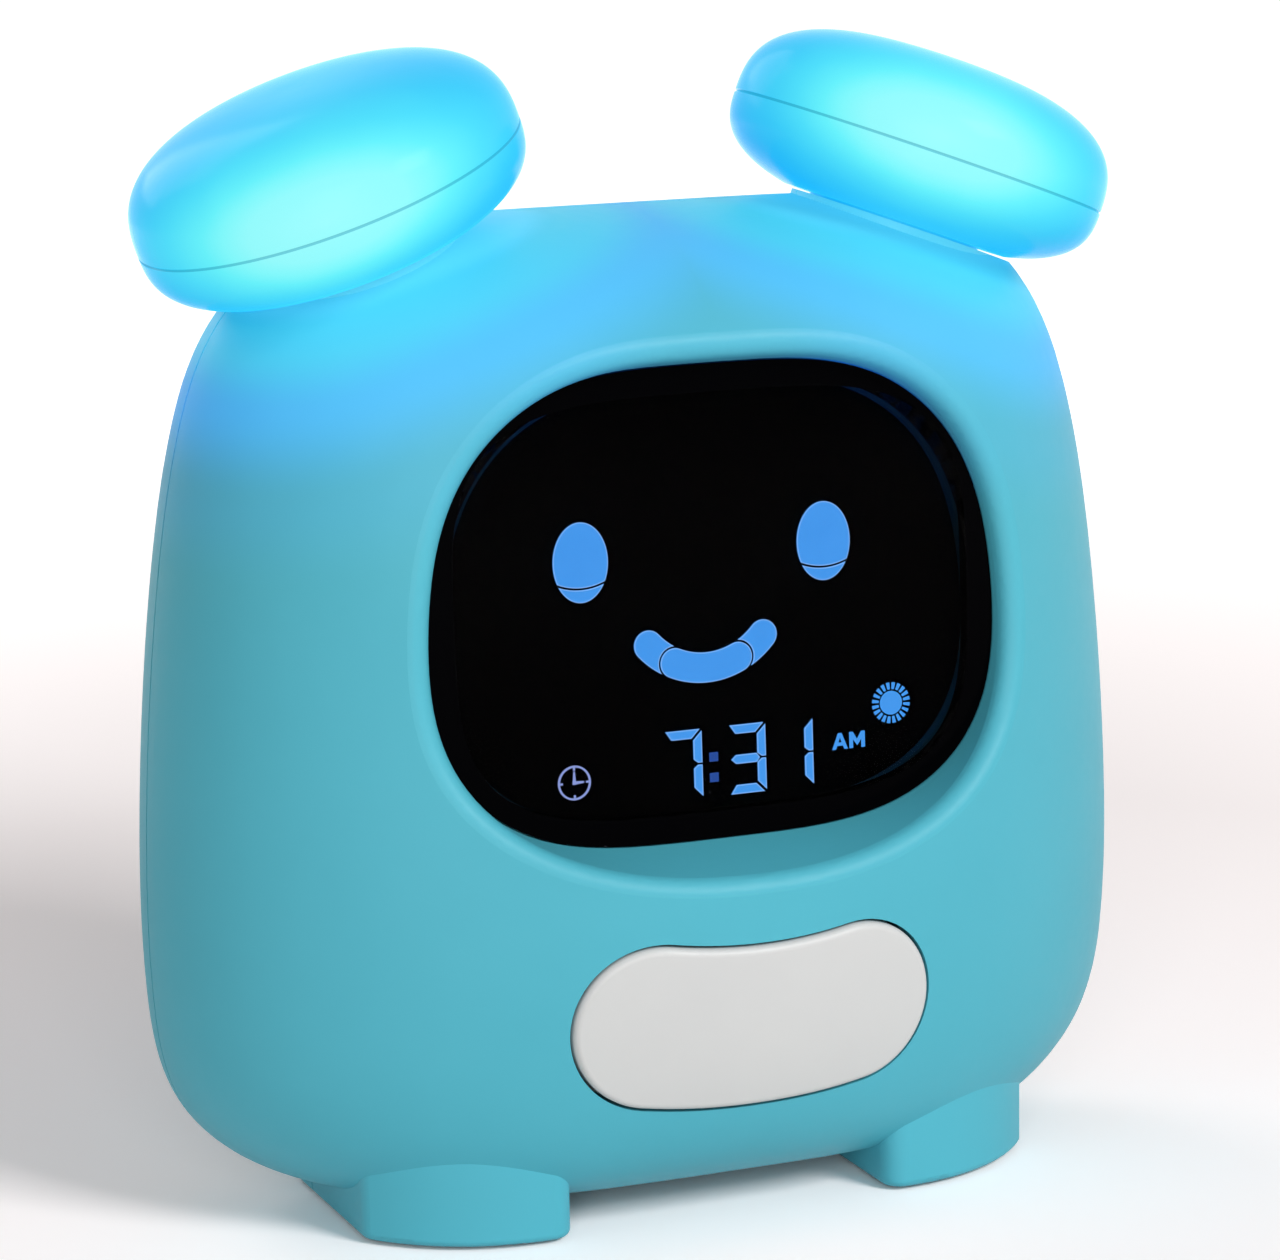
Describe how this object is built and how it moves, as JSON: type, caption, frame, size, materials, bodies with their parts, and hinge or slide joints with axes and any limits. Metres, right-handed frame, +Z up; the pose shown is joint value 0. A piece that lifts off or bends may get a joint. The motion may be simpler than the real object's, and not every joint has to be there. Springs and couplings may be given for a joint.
{
  "type": "kids alarm clock with night light",
  "caption": "Rounded bedside alarm clock with a smoked display, a snooze button under it and round night lights on its shoulders.",
  "frame": {"origin": "on the table, under the middle of the whole clock", "axes": "+X to the right of someone facing the display, +Y to the rear, +Z up"},
  "size_m": [0.122, 0.0592, 0.1346],
  "materials": {
    "shell_teal": "satin",
    "lamp_diffuser": "gloss",
    "button_grey": "satin",
    "smoked_window": "polished",
    "adhesive_tape": "matte",
    "black_plastic": "matte",
    "dark_glass": "polished",
    "white_plastic": "matte",
    "circuit_board": "satin",
    "white_board": "satin",
    "led_white": "satin",
    "lit_segment": "lit",
    "foot_rubber": "matte",
    "spring_steel": "plated",
    "screw_steel": "zinc plated",
    "magnet_steel": "plated",
    "can_aluminium": "satin",
    "cell_can": "gloss",
    "speaker_paper": "matte",
    "wire_sleeve": "matte",
    "ribbon_film": "satin"
  },
  "bodies": {
    "clock_body": {"alarm_mark": "lit_segment", "battery_cells": "cell_can", "board_chips": "black_plastic", "board_plugs": "white_plastic", "board_screws": "screw_steel", "board_wires": "wire_sleeve", "capacitors": "can_aluminium", "colon_segments": "lit_segment", "contact_plates": "spring_steel", "contact_springs": "spring_steel", "digit_segments": "lit_segment", "display_backlight": "white_plastic", "display_board": "circuit_board", "display_frame": "black_plastic", "display_panel": "dark_glass", "display_screws": "screw_steel", "display_window": "smoked_window", "eye_segments": "lit_segment", "flat_cable": "ribbon_film", "foot_pads": "foot_rubber", "front_shell": "shell_teal", "housing_screws": "screw_steel", "key_switches": "black_plastic", "left_lamp_base": "lamp_diffuser", "left_lamp_board": "white_board", "left_lamp_leds": "led_white", "left_lamp_top": "lamp_diffuser", "left_lamp_wires": "wire_sleeve", "main_board": "circuit_board", "morning_mark": "lit_segment", "mouth_segments": "lit_segment", "rear_cover": "shell_teal", "right_lamp_base": "lamp_diffuser", "right_lamp_board": "white_board", "right_lamp_leds": "led_white", "right_lamp_top": "lamp_diffuser", "right_lamp_wires": "wire_sleeve", "slide_switch": "black_plastic", "snooze_board": "circuit_board", "snooze_screws": "screw_steel", "snooze_springs": "spring_steel", "snooze_switch": "black_plastic", "speaker_cone": "speaker_paper", "speaker_frame": "screw_steel", "speaker_magnet": "magnet_steel", "sun_mark": "lit_segment", "usb_board": "circuit_board", "usb_socket": "spring_steel", "usb_tongue": "black_plastic", "window_tape": "adhesive_tape"},
    "snooze": {"snooze_button": "button_grey"},
    "time_key": {"key_time": "button_grey"},
    "alarm_key": {"key_alarm": "button_grey"},
    "up_key": {"key_up": "button_grey"},
    "down_key": {"key_down": "button_grey"},
    "lamp_key": {"key_lamp": "button_grey"},
    "slider": {"alarm_slider": "button_grey"},
    "door": {"battery_door": "shell_teal", "battery_door_screw": "screw_steel"}
  },
  "joints": [
    {"name": "snooze_press", "type": "slide", "parent": "clock_body", "child": "snooze", "axis": [0, 1, 0], "range_m": [0, 0.0012], "stiffness_N_per_m": 800, "springref_m": -0.001, "deforming": ["snooze_springs"]},
    {"name": "time_key_press", "type": "slide", "parent": "clock_body", "child": "time_key", "axis": [0, -1, 0], "range_m": [0, 0.0006], "stiffness_N_per_m": 600, "springref_m": -0.0006},
    {"name": "alarm_key_press", "type": "slide", "parent": "clock_body", "child": "alarm_key", "axis": [0, -1, 0], "range_m": [0, 0.0006], "stiffness_N_per_m": 600, "springref_m": -0.0006},
    {"name": "up_key_press", "type": "slide", "parent": "clock_body", "child": "up_key", "axis": [0, -1, 0], "range_m": [0, 0.0006], "stiffness_N_per_m": 600, "springref_m": -0.0006},
    {"name": "down_key_press", "type": "slide", "parent": "clock_body", "child": "down_key", "axis": [0, -1, 0], "range_m": [0, 0.0006], "stiffness_N_per_m": 600, "springref_m": -0.0006},
    {"name": "lamp_key_press", "type": "slide", "parent": "clock_body", "child": "lamp_key", "axis": [0, -1, 0], "range_m": [0, 0.0006], "stiffness_N_per_m": 600, "springref_m": -0.0006},
    {"name": "alarm_switch_slide", "type": "slide", "parent": "clock_body", "child": "slider", "axis": [1, 0, 0], "range_m": [0, 0.004]},
    {"name": "battery_door_lift", "type": "slide", "parent": "clock_body", "child": "door", "axis": [0, 1, 0], "range_m": [0, 0.02]}
  ]
}
